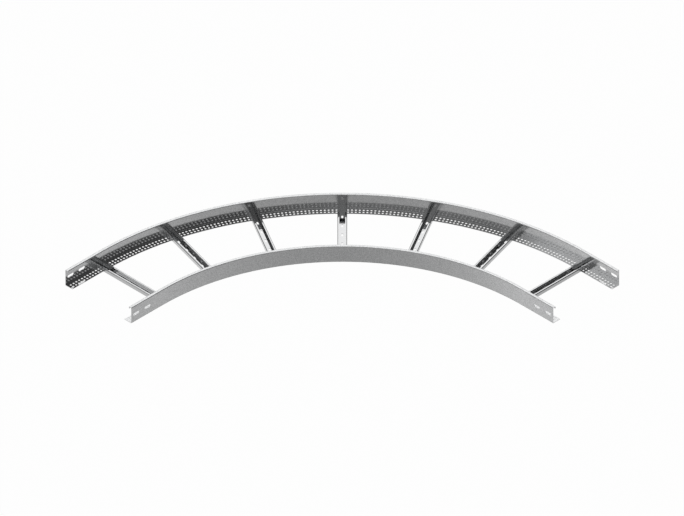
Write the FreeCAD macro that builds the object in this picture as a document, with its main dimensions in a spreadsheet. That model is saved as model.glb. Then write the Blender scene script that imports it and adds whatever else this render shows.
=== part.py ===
import FreeCAD, Part
import math
import os

import Sketcher

# Cable ladder bend, 90 degrees in plan.
# Each piece is drawn about the centre of the bend, with +Z up and Z = 0 on the underside of the flanges:
# the arc runs from the X axis to the Y axis, one straight end runs back along -Y, the other along -X.
# It is then moved so that the origin is under the centre of the whole ladder's footprint.

SIZES = (
    ("bend_angle", 90, "turn of the ladder in plan, degrees"),
    ("inner_radius", 800, "outside face of the inner rail's web"),
    ("ladder_width", 297, "over the outside faces of both webs"),
    ("rail_height", 60, "underside of flange to top of lip"),
    ("tail_length", 146, "straight stretch past each end of the arc"),
    ("rail_sheet", 1.5, "sheet of the rails"),
    ("rail_fold", 0.5, "inside radius of the rails' folds"),
    ("flange_width", 32, "bottom flange, from the web's outside face"),
    ("lip_width", 11.5, "top lip, from the web's outside face"),
    ("lip_drop", 7.5, "down-turned return of the lip, from the top"),
    ("hole_diameter", 7, "round holes of the flanges"),
    ("hole_pitch", 12.5, "along the rail"),
    ("hole_inset", 12, "first hole, from the rail's end"),
    ("row_inset", 12.4, "first row of holes, from the web's outside face"),
    ("row_gap", 11.5, "between the two rows"),
    ("splice_inset", 22, "first end slot's centre, from the rail's end"),
    ("splice_pitch", 50, "between the two end slots"),
    ("splice_height", 29, "end slots' centre line, from the underside"),
    ("splice_length", 28, "end slot over its round ends"),
    ("splice_width", 9, "end slot across"),
    ("rung_count", 7, "evenly spaced from one end rung to the other"),
    ("rung_lead", 0.28, "turn from each end of the arc to its end rung, degrees"),
    ("rung_width", 31.2, "C profile, over its walls"),
    ("rung_height", 14.3, "C profile, base to lips"),
    ("rung_lip", 6.2, "C profile, each lip from the wall's outside face"),
    ("rung_sheet", 1.5, "sheet of the rungs"),
    ("rung_fold", 1.5, "inside radius of the rungs' folds"),
    ("rung_play", 0.5, "rung's end to the start of the rail's fold"),
    ("rung_slot_count", 5, "slots in each rung's base"),
    ("rung_slot_inset", 42, "first slot's centre, from the rung's inner end"),
    ("rung_slot_pitch", 50, "between slots"),
    ("rung_slot_length", 15, "over its round ends"),
    ("rung_slot_width", 6.5, "across"),
)

doc = FreeCAD.newDocument("cable_ladder_bend")
sheet = doc.addObject("Spreadsheet::Sheet", "sizes")
for line, (name, size, meaning) in enumerate(SIZES, start=1):
    sheet.set(f"A{line}", name)
    sheet.set(f"B{line}", str(size))
    sheet.set(f"C{line}", meaning)
    sheet.setAlias(f"B{line}", name)
doc.recompute()

# What follows from the driving sizes, as expressions on the sheet
OUTER_RADIUS = "(sizes.inner_radius + sizes.ladder_width)"
TAIL_HOLES = "(floor((sizes.tail_length - sizes.hole_inset) / sizes.hole_pitch) + 1)"
TAIL_ROW = f"(({TAIL_HOLES} - 1) * sizes.hole_pitch)"
HALF_BEND = "(sizes.bend_angle / 2)"
FOOTPRINT_CENTRE = f"(({OUTER_RADIUS} - sizes.tail_length) / 2)"
RUNG_START = "(sizes.inner_radius + sizes.rail_sheet + sizes.rail_fold + sizes.rung_play)"
RUNG_LENGTH = "(sizes.ladder_width - 2 * (sizes.rail_sheet + sizes.rail_fold + sizes.rung_play))"


# Sketch helpers

def value(expression):
    """The number that an expression on the sheet gives."""
    return float(sheet.evalExpression(expression.replace("sizes.", "")))


def origin_plane(body, role):
    for feature in body.Origin.OriginFeatures:
        if feature.Role == role:
            return feature
    raise RuntimeError(f"no {role} in {body.Label}")


def new_sketch(body, name, role, height=None):
    """A sketch on one of the body's own planes, lifted off it by the height where one is given."""
    sketch = body.newObject("Sketcher::SketchObject", name)
    sketch.AttachmentSupport = (origin_plane(body, role), "")
    sketch.MapMode = "FlatFace"
    if height:
        sketch.setExpression("AttachmentOffset.Base.z", height)
    doc.recompute()
    return sketch


def fix(sketch, kind, *geometry, size):
    """A dimension that follows the expression."""
    index = sketch.addConstraint(Sketcher.Constraint(kind, *geometry, value(size)))
    sketch.setExpression(f"Constraints[{index}]", size)


def place(sketch, kind, geometry, point, size):
    """Sets a point's distance from the sketch's origin, on either side of it."""
    if abs(value(size)) < 1e-9:
        axis = -1 if kind == "DistanceY" else -2
        sketch.addConstraint(Sketcher.Constraint("PointOnObject", geometry, point, axis))
    elif value(size) > 0:
        fix(sketch, kind, -1, 1, geometry, point, size=size)
    else:
        fix(sketch, kind, geometry, point, -1, 1, size=f"-({size})")


def outline(sketch, sides, radii):
    """A closed outline of level and upright sides, with a round corner after each side that has a radius.

    A side is ("X", place) or ("Y", place): an upright line at that X or a level one at that Y.
    """
    count = len(sides)
    spots = [value(size) for _, size in sides]
    corners = []
    for i in range(count):
        after = (i + 1) % count
        pair = (spots[i], spots[after]) if sides[i][0] == "X" else (spots[after], spots[i])
        corners.append(FreeCAD.Vector(*pair, 0))
    rounds = [value(size) if size else 0 for size in radii]
    heading = [(corners[i] - corners[i - 1]).normalize() for i in range(count)]
    for i in range(count):
        start = corners[i - 1] + heading[i] * rounds[i - 1]
        end = corners[i] - heading[i] * rounds[i]
        sketch.addGeometry(Part.LineSegment(start, end))
        sketch.addConstraint(Sketcher.Constraint("Vertical" if sides[i][0] == "X" else "Horizontal", i))
    for i in range(count):
        after = (i + 1) % count
        if not rounds[i]:
            sketch.addConstraint(Sketcher.Constraint("Coincident", i, 2, after, 1))
            continue
        centre = corners[i] + (heading[after] - heading[i]) * rounds[i]
        left_turn = heading[i].cross(heading[after]).z > 0
        middle = corners[i] - centre
        middle_angle = math.atan2(middle.y, middle.x)
        ring = Part.Circle(centre, FreeCAD.Vector(0, 0, 1), rounds[i])
        arc = sketch.addGeometry(
            Part.ArcOfCircle(ring, middle_angle - math.pi / 4, middle_angle + math.pi / 4))
        first, last = (1, 2) if left_turn else (2, 1)
        sketch.addConstraint(Sketcher.Constraint("Tangent", i, 2, arc, first))
        sketch.addConstraint(Sketcher.Constraint("Tangent", arc, last, after, 1))
        fix(sketch, "Radius", arc, size=radii[i])
    for i, (axis, size) in enumerate(sides):
        place(sketch, "Distance" + axis, i, 1, size)


def obround(sketch, along, across, length, width):
    """A slot with round ends, along the sketch's level axis, about the given centre."""
    half = f"(({length} - {width}) / 2)"
    radius = f"({width} / 2)"
    centre = FreeCAD.Vector(value(along), value(across), 0)
    reach = FreeCAD.Vector(value(half), 0, 0)
    drop = FreeCAD.Vector(0, value(radius), 0)
    up = FreeCAD.Vector(0, 0, 1)
    right = Part.Circle(centre + reach, up, value(radius))
    left = Part.Circle(centre - reach, up, value(radius))
    sketch.addGeometry(Part.LineSegment(centre - reach - drop, centre + reach - drop))
    sketch.addGeometry(Part.ArcOfCircle(right, -math.pi / 2, math.pi / 2))
    sketch.addGeometry(Part.LineSegment(centre + reach + drop, centre - reach + drop))
    sketch.addGeometry(Part.ArcOfCircle(left, math.pi / 2, 3 * math.pi / 2))
    for side in range(4):
        sketch.addConstraint(Sketcher.Constraint("Tangent", side, 2, (side + 1) % 4, 1))
    sketch.addConstraint(Sketcher.Constraint("Horizontal", 0))
    sketch.addConstraint(Sketcher.Constraint("Horizontal", 1, 3, 3, 3))
    place(sketch, "DistanceX", 1, 3, f"({along} + {half})")
    place(sketch, "DistanceX", 3, 3, f"({along} - {half})")
    place(sketch, "DistanceY", 1, 3, across)
    fix(sketch, "Radius", 1, size=radius)


def hole(sketch, along, across):
    """A round hole of the flange."""
    centre = FreeCAD.Vector(value(along), value(across), 0)
    ring = Part.Circle(centre, FreeCAD.Vector(0, 0, 1), value("sizes.hole_diameter / 2"))
    index = sketch.addGeometry(ring)
    place(sketch, "DistanceX", index, 3, along)
    place(sketch, "DistanceY", index, 3, across)
    fix(sketch, "Radius", index, size="sizes.hole_diameter / 2")


# Feature helpers

def seat(body, turn):
    """Turns a piece about the centre of the bend and moves it to the ladder's own origin."""
    up = FreeCAD.Vector(0, 0, 1)
    shift = -value(FOOTPRINT_CENTRE)
    body.Placement = FreeCAD.Placement(FreeCAD.Vector(shift, shift, 0), FreeCAD.Rotation(up, value(turn)))
    body.setExpression("Placement.Rotation.Angle", turn)
    for axis in "xy":
        body.setExpression(f"Placement.Base.{axis}", f"-{FOOTPRINT_CENTRE}")
    doc.recompute()


def pad(body, sketch, name, length):
    feature = body.newObject("PartDesign::Pad", name)
    feature.Profile = sketch
    feature.setExpression("Length", length)
    doc.recompute()
    return feature


def punch(body, sketch, name, depth=None):
    """Cuts the sketch both ways from its plane, to the depth or right through."""
    feature = body.newObject("PartDesign::Pocket", name)
    feature.Profile = sketch
    feature.SideType = "Symmetric"
    if depth:
        feature.setExpression("Length", depth)
    else:
        feature.Type = "ThroughAll"
    before = feature.BaseFeature.Shape.Volume
    doc.recompute()
    if feature.Shape.Volume > before - 1:
        raise RuntimeError(f"{name} cuts nothing")
    return feature


def row(body, feature, name, axis, length, count):
    """Repeats a feature along one of its sketch's axes."""
    pattern = body.newObject("PartDesign::LinearPattern", name)
    pattern.Originals = [feature]
    pattern.Direction = (feature.Profile[0], [axis])
    pattern.setExpression("Length", length)
    pattern.setExpression("Occurrences", count)
    body.Tip = pattern
    doc.recompute()
    return pattern


# The two side rails

def rail_section(sketch, face, inward):
    """Web, bottom flange and lip with its return, folded from one sheet. Inward is + or -, towards the rungs."""
    def across(size):
        return f"({face} {inward} ({size}))"
    sides = (
        ("Y", "0"),
        ("X", across("0")),
        ("Y", "sizes.rail_height"),
        ("X", across("sizes.lip_width")),
        ("Y", "sizes.rail_height - sizes.lip_drop"),
        ("X", across("sizes.lip_width - sizes.rail_sheet")),
        ("Y", "sizes.rail_height - sizes.rail_sheet"),
        ("X", across("sizes.rail_sheet")),
        ("Y", "sizes.rail_sheet"),
        ("X", across("sizes.flange_width")),
    )
    outside = "sizes.rail_fold + sizes.rail_sheet"
    inside = "sizes.rail_fold"
    outline(sketch, sides, (outside, outside, outside, None, None, inside, inside, inside, None, None))


def flange_holes(body, face, inward):
    """Two rows of round holes in half the rail, evenly spaced from the end to the middle of the bend."""
    rows = ("sizes.row_inset", "(sizes.row_inset + sizes.row_gap)")
    depth = "4 * sizes.rail_sheet"
    straight = new_sketch(body, "straight_holes", "XY_Plane")
    for inset in rows:
        hole(straight, f"({face} {inward} {inset})", "-(sizes.tail_length - sizes.hole_inset)")
    punched = punch(body, straight, "straight_hole_pair", depth)
    row(body, punched, "straight_hole_rows", "V_Axis", TAIL_ROW, TAIL_HOLES)

    # The run from the last straight hole to the middle of the bend is shared out evenly.
    lead = f"(sizes.tail_length - sizes.hole_inset - {TAIL_ROW})"
    run = f"({face} * pi * sizes.bend_angle / 360 + {lead})"
    count = f"round({run} / sizes.hole_pitch - 0.5)"
    step = f"({run} / ({count} + 0.5) / {face} * 180 / pi)"
    first = f"({HALF_BEND} - ({count} - 0.5) * {step})"
    curved = new_sketch(body, "curved_holes", "XY_Plane")
    for inset in rows:
        radius = f"({face} {inward} {inset})"
        hole(curved, f"{radius} * cos({first})", f"{radius} * sin({first})")
    punched = punch(body, curved, "curved_hole_pair", depth)
    pattern = body.newObject("PartDesign::PolarPattern", "curved_hole_rows")
    pattern.Originals = [punched]
    pattern.Axis = (curved, ["N_Axis"])
    pattern.setExpression("Angle", f"{step} * ({count} - 1)")
    pattern.setExpression("Occurrences", count)
    body.Tip = pattern
    doc.recompute()


def side_rail(name, face, inward):
    """Half the rail is made from its end to the middle of the bend, then mirrored."""
    body = doc.addObject("PartDesign::Body", name)
    section = new_sketch(body, "section", "XZ_Plane")
    rail_section(section, face, inward)

    bend = body.newObject("PartDesign::Revolution", "bend")
    bend.Profile = section
    bend.ReferenceAxis = (section, ["V_Axis"])
    bend.setExpression("Angle", HALF_BEND)
    doc.recompute()
    pad(body, section, "straight_end", "sizes.tail_length")
    flange_holes(body, face, inward)

    splice = new_sketch(body, "splice_slot", "YZ_Plane")
    obround(splice, "(sizes.splice_inset - sizes.tail_length)", "sizes.splice_height",
            "sizes.splice_length", "sizes.splice_width")
    slot = punch(body, splice, "splice_slot_cut")
    row(body, slot, "splice_slots", "H_Axis", "sizes.splice_pitch", "2")

    middle = body.newObject("PartDesign::Plane", "middle_of_bend")
    middle.AttachmentSupport = (origin_plane(body, "XZ_Plane"), "")
    middle.MapMode = "FlatFace"
    middle.AttachmentOffset = FreeCAD.Placement(
        FreeCAD.Vector(), FreeCAD.Rotation(FreeCAD.Vector(0, 1, 0), value(HALF_BEND)))
    middle.setExpression("AttachmentOffset.Rotation.Angle", HALF_BEND)
    doc.recompute()
    whole = body.newObject("PartDesign::Mirrored", "whole_rail")
    whole.TransformMode = "Whole shape"
    whole.MirrorPlane = (middle, [""])
    body.Tip = whole
    seat(body, "0")
    return body


# The rungs

def rung_section(sketch):
    """C profile, open upwards, its base on the flanges."""
    base = "sizes.rail_sheet"
    top = "(sizes.rail_sheet + sizes.rung_height)"
    half = "sizes.rung_width / 2"
    inner = "(sizes.rung_width / 2 - sizes.rung_sheet)"
    mouth = "(sizes.rung_width / 2 - sizes.rung_lip)"
    floor_top = "(sizes.rail_sheet + sizes.rung_sheet)"
    lip_under = f"({top} - sizes.rung_sheet)"
    sides = (
        ("Y", base), ("X", half), ("Y", top), ("X", mouth), ("Y", lip_under), ("X", inner),
        ("Y", floor_top), ("X", f"-{inner}"), ("Y", lip_under), ("X", f"-{mouth}"), ("Y", top),
        ("X", f"-{half}"),
    )
    outside = "sizes.rung_fold + sizes.rung_sheet"
    inside = "sizes.rung_fold"
    outline(sketch, sides, (
        outside, outside, None, None, inside, inside, inside, inside, None, None, outside, outside))


def rung(number):
    body = doc.addObject("PartDesign::Body", f"rung_{number}")
    section = new_sketch(body, "section", "YZ_Plane", RUNG_START)
    rung_section(section)
    pad(body, section, "profile", RUNG_LENGTH)
    base_slot = new_sketch(body, "base_slot", "XY_Plane")
    obround(base_slot, f"({RUNG_START} + sizes.rung_slot_inset)", "0",
            "sizes.rung_slot_length", "sizes.rung_slot_width")
    slot = punch(body, base_slot, "base_slot_cut")
    row(body, slot, "base_slots", "H_Axis",
        "sizes.rung_slot_pitch * (sizes.rung_slot_count - 1)", "sizes.rung_slot_count")
    step = "(sizes.bend_angle - 2 * sizes.rung_lead) / (sizes.rung_count - 1)"
    seat(body, f"sizes.rung_lead + {number - 1} * {step}")
    return body


pieces = [
    side_rail("inner_side_rail", "sizes.inner_radius", "+"),
    side_rail("outer_side_rail", OUTER_RADIUS, "-"),
]
pieces += [rung(number) for number in range(1, int(sheet.rung_count) + 1)]

# Every feature and every finished piece is sound before anything is written.
doc.recompute()
for item in doc.Objects:
    if "Invalid" in item.State or "Error" in item.State:
        raise RuntimeError(f"{item.Label} failed")
for piece in pieces:
    if piece.Shape.isNull() or not piece.Shape.isValid() or len(piece.Shape.Solids) != 1:
        raise RuntimeError(f"{piece.Label} is not one sound solid")

os.makedirs("parts", exist_ok=True)
for piece in pieces:
    piece.Shape.exportStep(f"parts/{piece.Label}.step")
    print(piece.Label, round(piece.Shape.Volume), piece.Shape.BoundBox)
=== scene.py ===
"""Cable ladder bend: two punched side rails and seven rungs in galvanised sheet steel."""
import math

import bpy
from bpy.props import FloatProperty, FloatVectorProperty, PointerProperty
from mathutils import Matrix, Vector


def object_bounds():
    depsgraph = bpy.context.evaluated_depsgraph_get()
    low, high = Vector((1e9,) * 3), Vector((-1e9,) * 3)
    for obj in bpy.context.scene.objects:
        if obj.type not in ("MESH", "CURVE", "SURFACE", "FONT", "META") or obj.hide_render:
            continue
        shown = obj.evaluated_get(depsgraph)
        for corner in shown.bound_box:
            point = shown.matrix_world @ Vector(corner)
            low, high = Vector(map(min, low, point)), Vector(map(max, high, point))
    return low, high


bl_info = {
    "name": "Cable ladder bend",
    "version": (1, 0, 0),
    "blender": (4, 5, 0),
    "location": "View3D > Sidebar > Cable ladder",
    "description": "Dresses a galvanised cable ladder bend and sets its studio",
    "category": "Object",
}

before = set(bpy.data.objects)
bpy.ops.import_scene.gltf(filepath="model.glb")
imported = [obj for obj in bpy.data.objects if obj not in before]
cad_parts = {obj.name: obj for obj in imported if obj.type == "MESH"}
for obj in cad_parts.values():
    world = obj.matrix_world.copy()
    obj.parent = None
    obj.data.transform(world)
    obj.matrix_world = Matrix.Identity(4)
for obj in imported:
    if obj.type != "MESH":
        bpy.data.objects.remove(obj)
CAD_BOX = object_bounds()

SIDE_RAILS = ("inner_side_rail", "outer_side_rail")
RUNGS = tuple(sorted(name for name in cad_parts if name.startswith("rung_")))
MM = 0.001

# The photograph's view: parallel, down across the bend's own corner from its hollow side. Angles are in
# degrees and lengths in metres.
VIEW_AZIMUTH = -45.0
VIEW_ELEVATION = 35.264
VIEW_DISTANCE = 6.0
VIEW_DEPTH = 100.0
PICTURE_WIDTH = 2.1712
LOOK_AT = (0.1051, 0.1063, 0.0)

# The zinc skin: soft stains to the metre, the crystals' and the stains' shares in its shade, and the
# shades between which its roughness runs.
STAINS = 18.0
CRYSTAL_SHARE = 0.9
STAIN_SHARE = 0.1
DARK_SHADE = 0.2
LIGHT_SHADE = 0.8

# The sky's soft panels: the setting that gives each its strength, its middle's bearing and height, and
# how far from there it is full and gone. All are degrees, with bearing 0 behind the bend and -90 at the
# left of the picture.
PANELS = (
    ("back_panel", 0, 40, 14, 24),
    ("top_panel", 180, 80, 22, 40),
    ("side_panel", -90, 35, 8, 28),
    ("front_panel", -140, 35, 25, 65),
)

# The mirrored floor grows lighter from FLOOR_FRONT backwards. The horizon is soft over HORIZON of a
# direction's height. The real floor lies FLOOR_GAP under the flanges.
FLOOR_FRONT = -0.8165
HORIZON = 0.12
FLOOR_GAP = 0.2 * MM


class SheetSkin:
    """What the zinc skins of the rails and the rungs share."""

    spangle: FloatProperty(
        name="Spangle", description="Width of one zinc crystal",
        unit="LENGTH", min=0.5 * MM, default=1.7 * MM)
    grain: FloatProperty(
        name="Grain", description="Width of the fine pebbling in the zinc",
        unit="LENGTH", min=0.2 * MM, default=1.6 * MM)


class RailFinish(SheetSkin, bpy.types.PropertyGroup):
    """Zinc skin of the side rails."""

    bright: FloatVectorProperty(
        name="Bright zinc", description="Colour of the cleanest crystals of the zinc skin",
        subtype="COLOR", size=3, min=0, max=1, default=(0.985, 0.99, 0.995))
    dull: FloatVectorProperty(
        name="Dull zinc", description="Colour of the greyest crystals of the zinc skin",
        subtype="COLOR", size=3, min=0, max=1, default=(0.6, 0.605, 0.61))
    smoothest: FloatProperty(
        name="Least roughness", description="Roughness of the smoothest patches",
        subtype="FACTOR", min=0, max=1, default=0.115)
    dullest: FloatProperty(
        name="Most roughness", description="Roughness of the dullest patches",
        subtype="FACTOR", min=0, max=1, default=0.15)
    grain_depth: FloatProperty(
        name="Grain depth", description="Height of the fine pebbling",
        unit="LENGTH", min=0, default=0.0005 * MM)


class RungFinish(SheetSkin, bpy.types.PropertyGroup):
    """Zinc skin of the rungs, smoother and more even than the rails'."""

    bright: FloatVectorProperty(
        name="Bright zinc", description="Colour of the cleanest crystals of the zinc skin",
        subtype="COLOR", size=3, min=0, max=1, default=(0.83, 0.835, 0.84))
    dull: FloatVectorProperty(
        name="Dull zinc", description="Colour of the greyest crystals of the zinc skin",
        subtype="COLOR", size=3, min=0, max=1, default=(0.77, 0.775, 0.78))
    smoothest: FloatProperty(
        name="Least roughness", description="Roughness of the smoothest patches",
        subtype="FACTOR", min=0, max=1, default=0.05)
    dullest: FloatProperty(
        name="Most roughness", description="Roughness of the dullest patches",
        subtype="FACTOR", min=0, max=1, default=0.06)
    grain_depth: FloatProperty(
        name="Grain depth", description="Height of the fine pebbling",
        unit="LENGTH", min=0, default=0.0001 * MM)


class StudioSettings(bpy.types.PropertyGroup):
    """The floor and the light."""

    floor_size: FloatProperty(
        name="Floor size", description="Side of the square floor",
        unit="LENGTH", min=1, default=60)
    floor_colour: FloatVectorProperty(
        name="Floor", description="Colour of the plain floor",
        subtype="COLOR", size=3, min=0, max=1, default=(0.5, 0.5, 0.5))
    floor_white: FloatProperty(
        name="White to the camera", description="How far the floor turns to plain white in the picture",
        subtype="FACTOR", min=0, max=1, default=0.985)
    # Reach of the painted shade, from ambient occlusion, that darkens the mirrored floor near the metal.
    floor_shade: FloatProperty(
        name="Shade's reach", description="How far round the metal its shade darkens the mirrored floor",
        unit="LENGTH", min=1 * MM, default=4.5 * MM)
    ground: FloatProperty(
        name="Ground in the metal", description="Level that the metal mirrors from the floor in front",
        subtype="FACTOR", min=0, max=1, default=0.322)
    ground_gain: FloatProperty(
        name="Ground's gain", description="How much lighter the mirrored floor grows towards the back",
        subtype="FACTOR", min=0, max=1, default=0.24)
    ground_tilt: FloatProperty(
        name="Ground's tilt", description="How much more of that gain the left has than the right",
        min=-1, max=1, default=0.0735)
    sky: FloatProperty(
        name="Sky level", description="Even light of the room", min=0, default=0.055)
    back_panel: FloatProperty(
        name="Back panel", description="Light from behind the bend", min=0, default=0.95)
    top_panel: FloatProperty(
        name="Top panel", description="Light from overhead", min=0, default=0.6)
    side_panel: FloatProperty(
        name="Left panel", description="Light from the left of the picture", min=0, default=0.42)
    front_panel: FloatProperty(
        name="Front panel", description="Light from the camera's side", min=0, default=0.115)


def add(tree, kind, **settings):
    """A node of that kind, with its own settings and its sockets' plain values given by name."""
    node = tree.nodes.new(kind)
    for name, value in settings.items():
        if hasattr(node, name):
            setattr(node, name, value)
        else:
            node.inputs[name].default_value = value
    return node


def link(tree, source, target):
    """Joins an output socket to an input socket."""
    tree.links.new(source, target)


def remap(tree, source, low, high, to_low, to_high, smooth=False):
    """Carries a value from one range to another."""
    node = tree.nodes.new("ShaderNodeMapRange")
    if smooth:
        node.interpolation_type = "SMOOTHSTEP"
    for socket, value in zip(node.inputs[1:5], (low, high, to_low, to_high)):
        socket.default_value = value
    link(tree, source, node.inputs[0])
    return node.outputs[0]


def maths(tree, operation, first, second):
    """One sum of two values, each a socket or a number."""
    node = tree.nodes.new("ShaderNodeMath")
    node.operation = operation
    for socket, value in zip(node.inputs, (first, second)):
        if isinstance(value, bpy.types.NodeSocket):
            link(tree, value, socket)
        else:
            socket.default_value = value
    return node.outputs[0]


def mix_colours(tree, factor, first, second):
    """A colour between two others."""
    node = tree.nodes.new("ShaderNodeMix")
    node.data_type = "RGBA"
    link(tree, factor, node.inputs["Factor"])
    node.inputs[6].default_value = (*first, 1)
    node.inputs[7].default_value = (*second, 1)
    return node.outputs[2]


def mix_shaders(tree, factor, first, second):
    """A shader between two others."""
    node = tree.nodes.new("ShaderNodeMixShader")
    link(tree, factor, node.inputs[0])
    link(tree, first.outputs[0], node.inputs[1])
    link(tree, second.outputs[0], node.inputs[2])
    return node


def zinc_shade(tree, place, spangle):
    """Crystals of the zinc, each of one shade, with faint soft stains over many of them."""
    crystals = add(tree, "ShaderNodeTexVoronoi", feature="F1", Scale=1 / spangle)
    link(tree, place, crystals.inputs["Vector"])
    crystal = tree.nodes.new("ShaderNodeSeparateColor")
    link(tree, crystals.outputs["Color"], crystal.inputs[0])
    stains = add(tree, "ShaderNodeTexNoise", Scale=STAINS, Detail=4.0, Roughness=0.6)
    link(tree, place, stains.inputs["Vector"])
    own = maths(tree, "MULTIPLY", crystal.outputs[0], CRYSTAL_SHARE)
    return maths(tree, "ADD", own, maths(tree, "MULTIPLY", stains.outputs["Fac"], STAIN_SHARE))


def zinc_pebbling(tree, place, grain, depth):
    """The zinc's fine pebbling, as a bent normal."""
    pebbles = add(tree, "ShaderNodeTexNoise", Scale=1 / grain, Detail=2.0, Roughness=0.5)
    link(tree, place, pebbles.inputs["Vector"])
    bump = add(tree, "ShaderNodeBump", Strength=1.0, Distance=depth)
    link(tree, pebbles.outputs["Fac"], bump.inputs["Height"])
    return bump.outputs["Normal"]


def zinc(name, finish):
    """Galvanised sheet: zinc crystals between two greys, with a finer pebbling over them."""
    material = bpy.data.materials.new(name)
    material.use_nodes = True
    tree = material.node_tree
    metal = tree.nodes["Principled BSDF"]
    metal.inputs["Metallic"].default_value = 1.0
    place = tree.nodes.new("ShaderNodeTexCoord").outputs["Object"]
    shade = zinc_shade(tree, place, finish.spangle)
    link(tree, mix_colours(tree, shade, finish.dull, finish.bright), metal.inputs["Base Color"])
    rough = remap(tree, shade, DARK_SHADE, LIGHT_SHADE, finish.dullest, finish.smoothest)
    link(tree, rough, metal.inputs["Roughness"])
    link(tree, zinc_pebbling(tree, place, finish.grain, finish.grain_depth), metal.inputs["Normal"])
    return material


def dress(names, material):
    """Gives CAD nodes one material."""
    for name in names:
        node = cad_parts[name]
        if not node.material_slots:
            node.data.materials.append(material)
        for slot in node.material_slots:
            slot.material = material


class OBJECT_OT_ladder_bend_rails(bpy.types.Operator):
    """Dress the two curved side rails in galvanised sheet"""

    bl_idname = "object.ladder_bend_rails"
    bl_label = "Side rails"

    def execute(self, context):
        dress(SIDE_RAILS, zinc("galvanised_side_rail", context.scene.ladder_rail_finish))
        return {"FINISHED"}


class OBJECT_OT_ladder_bend_rungs(bpy.types.Operator):
    """Dress the seven rungs in galvanised sheet"""

    bl_idname = "object.ladder_bend_rungs"
    bl_label = "Rungs"

    def execute(self, context):
        dress(RUNGS, zinc("galvanised_rung_sheet", context.scene.ladder_rung_finish))
        return {"FINISHED"}


def floor_in_the_metal(tree, reach):
    """The floor as the metal mirrors it: clear down to the room's ground, and painted dark by ambient
    occlusion where the metal shades it.
    """
    # Painted shade: ambient occlusion near the metal blends in black emission, so the floor that the metal
    # mirrors turns dark there.
    shade = add(tree, "ShaderNodeAmbientOcclusion", samples=4, Distance=reach)
    painted_shade = add(tree, "ShaderNodeEmission", Strength=0.0)
    return mix_shaders(tree, shade.outputs["AO"], painted_shade, tree.nodes.new("ShaderNodeBsdfTransparent"))


def floor_material(studio):
    """Plain floor that turns white to the camera and keeps a trace of the bend's shadow."""
    material = bpy.data.materials.new("plain_floor")
    material.use_nodes = True
    tree = material.node_tree
    tree.nodes.clear()
    path = tree.nodes.new("ShaderNodeLightPath")
    paint = add(tree, "ShaderNodeBsdfDiffuse", Color=(*studio.floor_colour, 1))
    white = add(tree, "ShaderNodeEmission", Color=(1, 1, 1, 1), Strength=1.0)
    seen = maths(tree, "MULTIPLY", path.outputs["Is Camera Ray"], studio.floor_white)
    plain = mix_shaders(tree, seen, paint, white)
    mirrored = maths(tree, "MAXIMUM", path.outputs["Is Glossy Ray"], path.outputs["Is Transmission Ray"])
    floor = mix_shaders(tree, mirrored, plain, floor_in_the_metal(tree, studio.floor_shade))
    out = tree.nodes.new("ShaderNodeOutputMaterial")
    link(tree, floor.outputs[0], out.inputs[0])
    return material


def lay_floor(studio):
    """One square floor under the bend."""
    half = studio.floor_size / 2
    mesh = bpy.data.meshes.new("studio_floor")
    corners = [(-half, -half, 0), (half, -half, 0), (half, half, 0), (-half, half, 0)]
    mesh.from_pydata(corners, [], [(0, 1, 2, 3)])
    mesh.materials.append(floor_material(studio))
    floor = bpy.data.objects.new("studio_floor", mesh)
    floor.location.z = CAD_BOX[0].z - FLOOR_GAP
    bpy.context.scene.collection.objects.link(floor)


def facing(tree, direction, bearing, height):
    """How squarely a direction of the room looks along a bearing and height, both in degrees."""
    turn = math.radians(bearing - VIEW_AZIMUTH)
    tilt = math.radians(height)
    dot = add(tree, "ShaderNodeVectorMath", operation="DOT_PRODUCT")
    link(tree, direction, dot.inputs[0])
    flat = math.cos(tilt)
    dot.inputs[1].default_value = (math.sin(turn) * flat, math.cos(turn) * flat, math.sin(tilt))
    return dot.outputs["Value"]


def panel_of_light(tree, direction, bearing, height, full, gone, strength):
    """A round soft panel in the sky, full out to one angle from its middle and gone at another."""
    edges = math.cos(math.radians(gone)), math.cos(math.radians(full))
    return remap(tree, facing(tree, direction, bearing, height), *edges, 0.0, strength, smooth=True)


def sky_level(tree, direction, studio):
    """The upper half of the room: an even level and the soft panels."""
    level = studio.sky
    for setting, *place in PANELS:
        panel = panel_of_light(tree, direction, *place, getattr(studio, setting))
        level = maths(tree, "ADD", panel, level)
    return level


def ground_level(tree, direction, studio):
    """The lower half of the room, which only the metal shows: lighter to the back, more so at the left."""
    back = maths(tree, "SUBTRACT", facing(tree, direction, 0, 0), FLOOR_FRONT)
    tilt = maths(tree, "MULTIPLY", facing(tree, direction, -90, 0), studio.ground_tilt)
    gain = maths(tree, "MULTIPLY", back, maths(tree, "ADD", tilt, studio.ground_gain))
    return maths(tree, "ADD", gain, studio.ground)


def light_room(studio):
    """Soft studio light: panels above, the floor's levels below, and white to the camera."""
    world = bpy.context.scene.world or bpy.data.worlds.new("studio")
    bpy.context.scene.world = world
    world.use_nodes = True
    tree = world.node_tree
    tree.nodes.clear()
    direction = tree.nodes.new("ShaderNodeTexCoord").outputs["Generated"]
    above = remap(tree, facing(tree, direction, 0, 90), -HORIZON, HORIZON, 0.0, 1.0, smooth=True)
    below = maths(tree, "SUBTRACT", 1.0, above)
    sky = maths(tree, "MULTIPLY", above, sky_level(tree, direction, studio))
    ground = maths(tree, "MULTIPLY", below, ground_level(tree, direction, studio))
    room = add(tree, "ShaderNodeBackground", Color=(1, 1, 1, 1))
    link(tree, maths(tree, "ADD", sky, ground), room.inputs["Strength"])
    white = add(tree, "ShaderNodeBackground", Color=(1, 1, 1, 1), Strength=1.0)
    path = tree.nodes.new("ShaderNodeLightPath")
    shown = mix_shaders(tree, path.outputs["Is Camera Ray"], room, white)
    out = tree.nodes.new("ShaderNodeOutputWorld")
    link(tree, shown.outputs[0], out.inputs[0])


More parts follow.
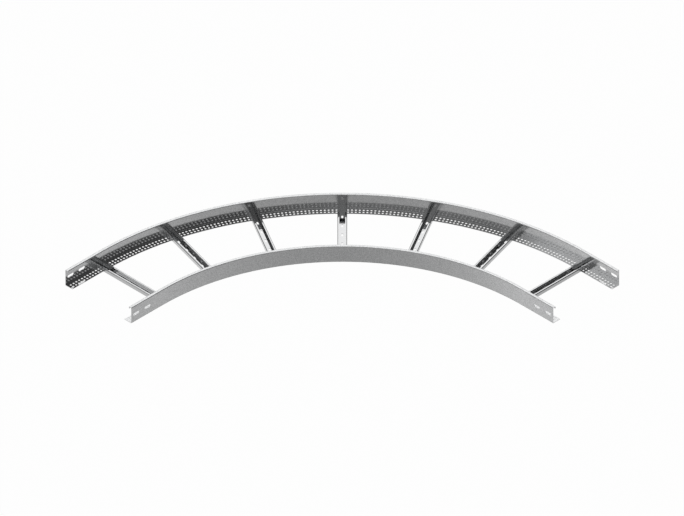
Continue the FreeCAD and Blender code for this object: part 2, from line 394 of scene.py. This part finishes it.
def set_camera():
    """A parallel view down across the bend, level with the photograph's."""
    data = bpy.data.cameras.new("camera")
    data.type = "ORTHO"
    data.ortho_scale = PICTURE_WIDTH
    data.clip_end = VIEW_DEPTH
    camera = bpy.data.objects.new("camera", data)
    bpy.context.scene.collection.objects.link(camera)
    turn, tilt = math.radians(VIEW_AZIMUTH), math.radians(VIEW_ELEVATION)
    back = Vector((math.sin(turn) * math.cos(tilt), -math.cos(turn) * math.cos(tilt), math.sin(tilt)))
    camera.location = Vector(LOOK_AT) + back * VIEW_DISTANCE
    camera.rotation_mode = "QUATERNION"
    camera.rotation_quaternion = (-back).to_track_quat("-Z", "Y")
    bpy.context.scene.camera = camera


class OBJECT_OT_ladder_bend_stage(bpy.types.Operator):
    """Lay the floor, light the room and set the camera"""

    bl_idname = "object.ladder_bend_stage"
    bl_label = "Studio"

    def execute(self, context):
        studio = context.scene.ladder_studio
        lay_floor(studio)
        light_room(studio)
        set_camera()
        context.scene.view_settings.view_transform = "Standard"
        return {"FINISHED"}


OPERATORS = (OBJECT_OT_ladder_bend_rails, OBJECT_OT_ladder_bend_rungs, OBJECT_OT_ladder_bend_stage)


class VIEW3D_PT_ladder_bend(bpy.types.Panel):
    """Lists what dresses the bend"""

    bl_label = "Cable ladder bend"
    bl_space_type = "VIEW_3D"
    bl_region_type = "UI"
    bl_category = "Cable ladder"

    def draw(self, context):
        scene = context.scene
        for group in (scene.ladder_rail_finish, scene.ladder_rung_finish, scene.ladder_studio):
            box = self.layout.box()
            for name in group.bl_rna.properties.keys():
                if name not in ("rna_type", "name"):
                    box.prop(group, name)
        for operator in OPERATORS:
            self.layout.operator(operator.bl_idname)


CLASSES = (RailFinish, RungFinish, StudioSettings, *OPERATORS, VIEW3D_PT_ladder_bend)


def register():
    """Adds the classes, and the settings to the scene."""
    for item in CLASSES:
        bpy.utils.register_class(item)
    bpy.types.Scene.ladder_rail_finish = PointerProperty(type=RailFinish)
    bpy.types.Scene.ladder_rung_finish = PointerProperty(type=RungFinish)
    bpy.types.Scene.ladder_studio = PointerProperty(type=StudioSettings)


def unregister():
    """Takes away what register added."""
    for name in ("ladder_rail_finish", "ladder_rung_finish", "ladder_studio"):
        delattr(bpy.types.Scene, name)
    for item in reversed(CLASSES):
        bpy.utils.unregister_class(item)


def main():
    """Dresses every piece."""
    register()
    bpy.ops.object.ladder_bend_rails()
    bpy.ops.object.ladder_bend_rungs()
    bpy.ops.object.ladder_bend_stage()


if __name__ == "__main__":
    main()
